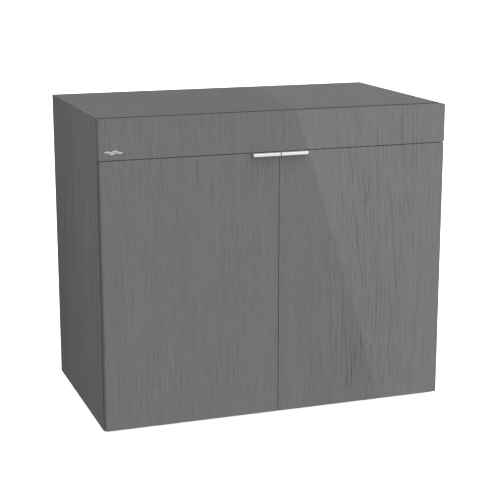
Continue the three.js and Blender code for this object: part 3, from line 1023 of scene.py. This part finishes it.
def build_hinge_screws(side, place):
    inward = SIDES[side]
    hinge = f"{side}_{place}"
    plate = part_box(f"{hinge}_hinge_plate")
    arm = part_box(f"{hinge}_hinge_arm")
    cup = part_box(f"{hinge}_hinge_cup")
    level = (plate[0].z + plate[1].z) / 2
    wing_x = outer_and_inner_x(f"{hinge}_hinge_plate", side)[0] + inward * WING_RISE * MM
    wing_y = plate[0].y + WING_MIDDLE * MM
    arm_x = outer_and_inner_x(f"{hinge}_hinge_arm", side)[1]
    cup_x = (cup[0].x + cup[1].x) / 2 + inward * EAR_SCREW[0] * MM
    for number, way in ((1, -1), (2, 1)):
        add_screw(
            f"{hinge}_plate_screw_{number}",
            (wing_x, wing_y, level + way * PLATE_SCREW_Z), (inward, 0, 0),
            3.6 * MM, 1.8 * MM, "carcass",
        )
        add_screw(
            f"{hinge}_cup_screw_{number}",
            (cup_x, cup[1].y, level + way * EAR_SCREW[1] * MM), (0, 1, 0),
            3.2 * MM, 1.0 * MM, f"{side}_door",
        )
        add_screw(
            f"{hinge}_arm_screw_{number}",
            (arm_x, arm[1].y - ARM_SCREW_MIDDLE - way * ARM_SCREW_HALF, level), (inward, 0, 0),
            3.4 * MM, 1.6 * MM, "carcass",
        )


for side in SIDES:
    for place in PLACES:
        build_hinge_screws(side, place)

FASCIA_SCREWS_X = (-0.3, -0.1, 0.1, 0.3)
rail_low, rail_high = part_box("front_top_rail")
for number, x in enumerate(FASCIA_SCREWS_X, start=1):
    add_screw(
        f"fascia_screw_{number}", (x, rail_high.y, (rail_low.z + rail_high.z) / 2),
        (0, 1, 0), 4 * MM, 2 * MM, "carcass",
    )


# ---------------------------------------------------------------- floor, world and lights

def edge_normal(eye, points, way):
    """Normal of the plane through the eye and two points, on the given side of it in x."""
    normal = (points[0] - eye).cross(points[1] - eye).normalized()
    return normal if normal.x * way > 0 else -normal


# The studio is lighter past one edge in front of the cabinet and past two behind it. In
# the lacquer they show as slanting lines on the front and the top, and as a soft change
# across the left side. Each eye is the camera's mirror image in one of those faces.
FRONT_LINE = ((0.041, TOP_Z), (0.25, 0.015))  # two points of each line: (x, z) on the front,
TOP_LINE = ((0.115, 0.242), (0.05, -0.165))  # (x, y) on the top,
SIDE_LINE = ((0.05, 0.0), (0.05, TOP_Z))  # and (y, z) on the left side

front_eye = Vector((CAMERA_PLACE.x, 2 * FRONT_FACE_Y - CAMERA_PLACE.y, CAMERA_PLACE.z))
front_edge = edge_normal(front_eye, [Vector((x, FRONT_FACE_Y, z)) for x, z in FRONT_LINE], 1)
top_eye = Vector((CAMERA_PLACE.x, CAMERA_PLACE.y, 2 * TOP_Z - CAMERA_PLACE.z))
top_edge = edge_normal(top_eye, [Vector((x, y, TOP_Z)) for x, y in TOP_LINE], 1)
side_eye = Vector((2 * TOP_LOW.x - CAMERA_PLACE.x, CAMERA_PLACE.y, CAMERA_PLACE.z))
side_edge = edge_normal(side_eye, [Vector((TOP_LOW.x, y, z)) for y, z in SIDE_LINE], -1)

EDGE_SOFTNESS = 0.001
SIDE_SOFTNESS = 0.014
STUDIO_FRONT = 0.533
STUDIO_FRONT_STEP = 0.95
STUDIO_BACK = 0.155
STUDIO_SIDE_STEP = 0.097
STUDIO_BACK_HIGH = 0.028  # more light from above the horizon behind the cabinet
STUDIO_BACK_STEP = 0.05
LOW_FRONT = 0.88  # what is left of the light well below the horizon
LOW_FRONT_STEP = 0.65
LOW_BACK = 0.8


def build_world():
    world = bpy.data.worlds.new("studio")
    bpy.context.scene.world = world
    world.use_nodes = True
    graph = Graph(world.node_tree)
    direction = graph.node("ShaderNodeTexCoord").outputs["Generated"]
    split = graph.node("ShaderNodeSeparateXYZ", {0: direction})
    in_front = graph.remap(split.outputs["Y"], 0.15, -0.35)
    upward = graph.remap(split.outputs["Z"], 0.0, 0.02)
    low_down = graph.remap(split.outputs["Z"], -0.12, -0.34)

    def past(edge, softness, low, high):
        """A value that goes from low to high where the direction crosses an edge."""
        distance = graph.vector("DOT_PRODUCT", direction, edge).outputs["Value"]
        return graph.remap(distance, -softness, softness, low, high)

    front_light = graph.math(
        "ADD",
        graph.product(
            past(front_edge, EDGE_SOFTNESS, 0.0, STUDIO_FRONT_STEP),
            graph.remap(low_down, 0.0, 1.0, 1.0, LOW_FRONT_STEP),
        ),
        graph.remap(low_down, 0.0, 1.0, STUDIO_FRONT, LOW_FRONT * STUDIO_FRONT),
    )
    high_light = graph.product(
        past(top_edge, EDGE_SOFTNESS, STUDIO_BACK_HIGH, STUDIO_BACK_HIGH + STUDIO_BACK_STEP),
        upward,
    )
    side_light = past(side_edge, SIDE_SOFTNESS, STUDIO_BACK, STUDIO_BACK + STUDIO_SIDE_STEP)
    back_light = graph.product(
        graph.math("ADD", high_light, side_light),
        graph.remap(low_down, 0.0, 1.0, 1.0, LOW_BACK),
    )
    light = graph.node(
        "ShaderNodeMix", {"Factor": in_front, "A": back_light, "B": front_light},
    ).outputs["Result"]
    seen = graph.node("ShaderNodeLightPath").outputs["Is Camera Ray"]
    strength = graph.node(
        "ShaderNodeMix", {"Factor": seen, "A": light, "B": 1.0},
    ).outputs["Result"]
    background = graph.node("ShaderNodeBackground", {"Color": (1, 1, 1, 1), "Strength": strength})
    output = graph.node("ShaderNodeOutputWorld")
    graph.tree.links.new(background.outputs[0], output.inputs["Surface"])


build_world()


FLOOR_HALF = 60
FLOOR_DROP = 0.2 * MM  # keeps the floor clear of the cabinet's underside
SUN_SPREAD = math.radians(60)


def build_floor():
    material, graph, shader = new_material("pale_floor")
    place = graph.node("ShaderNodeTexCoord").outputs["Object"]
    cloud = graph.stretched_noise(place, (2, 2, 2), 2)
    set_shader(
        graph, shader,
        Base_Color=graph.ramp(cloud, [(0.3, (0.93, 0.93, 0.93)), (0.7, (0.95, 0.95, 0.95))]),
        Roughness=0.9,
        Specular_IOR_Level=0.0,
    )
    bm = bmesh.new()
    bmesh.ops.create_grid(bm, x_segments=4, y_segments=4, size=FLOOR_HALF)
    mesh = bpy.data.meshes.new("floor")
    bm.to_mesh(mesh)
    bm.free()
    mesh.materials.append(material)
    obj = bpy.data.objects.new("floor", mesh)
    bpy.context.scene.collection.objects.link(obj)
    obj.location.z = -FLOOR_DROP
    obj.visible_glossy = False
    obj.visible_diffuse = False
    return obj


floor = build_floor()


def add_sun(name, strength, toward):
    """A distant soft light that shines along the given direction."""
    data = bpy.data.lights.new(name, "SUN")
    data.energy = strength
    data.angle = SUN_SPREAD
    obj = bpy.data.objects.new(name, data)
    obj.rotation_euler = Vector(toward).to_track_quat("-Z", "Y").to_euler()
    bpy.context.scene.collection.objects.link(obj)
    return obj


for name, strength, toward in (
    ("front_key", 0.88, (-0.15, 1, -0.15)),
    ("top_key", 1.19, (-0.1, 0.15, -1)),
    ("back_fill", 1.0, (0.2, -1, -0.25)),
):
    add_sun(name, strength, toward).visible_glossy = False

# The floor has a light of its own, without shadows, that keeps it white.
wash = add_sun("floor_wash", 3.3, (0, 0, -1))
wash.data.use_shadow = False
only_floor = bpy.data.collections.new("only_floor")
only_floor.objects.link(floor)
wash.light_linking.receiver_collection = only_floor
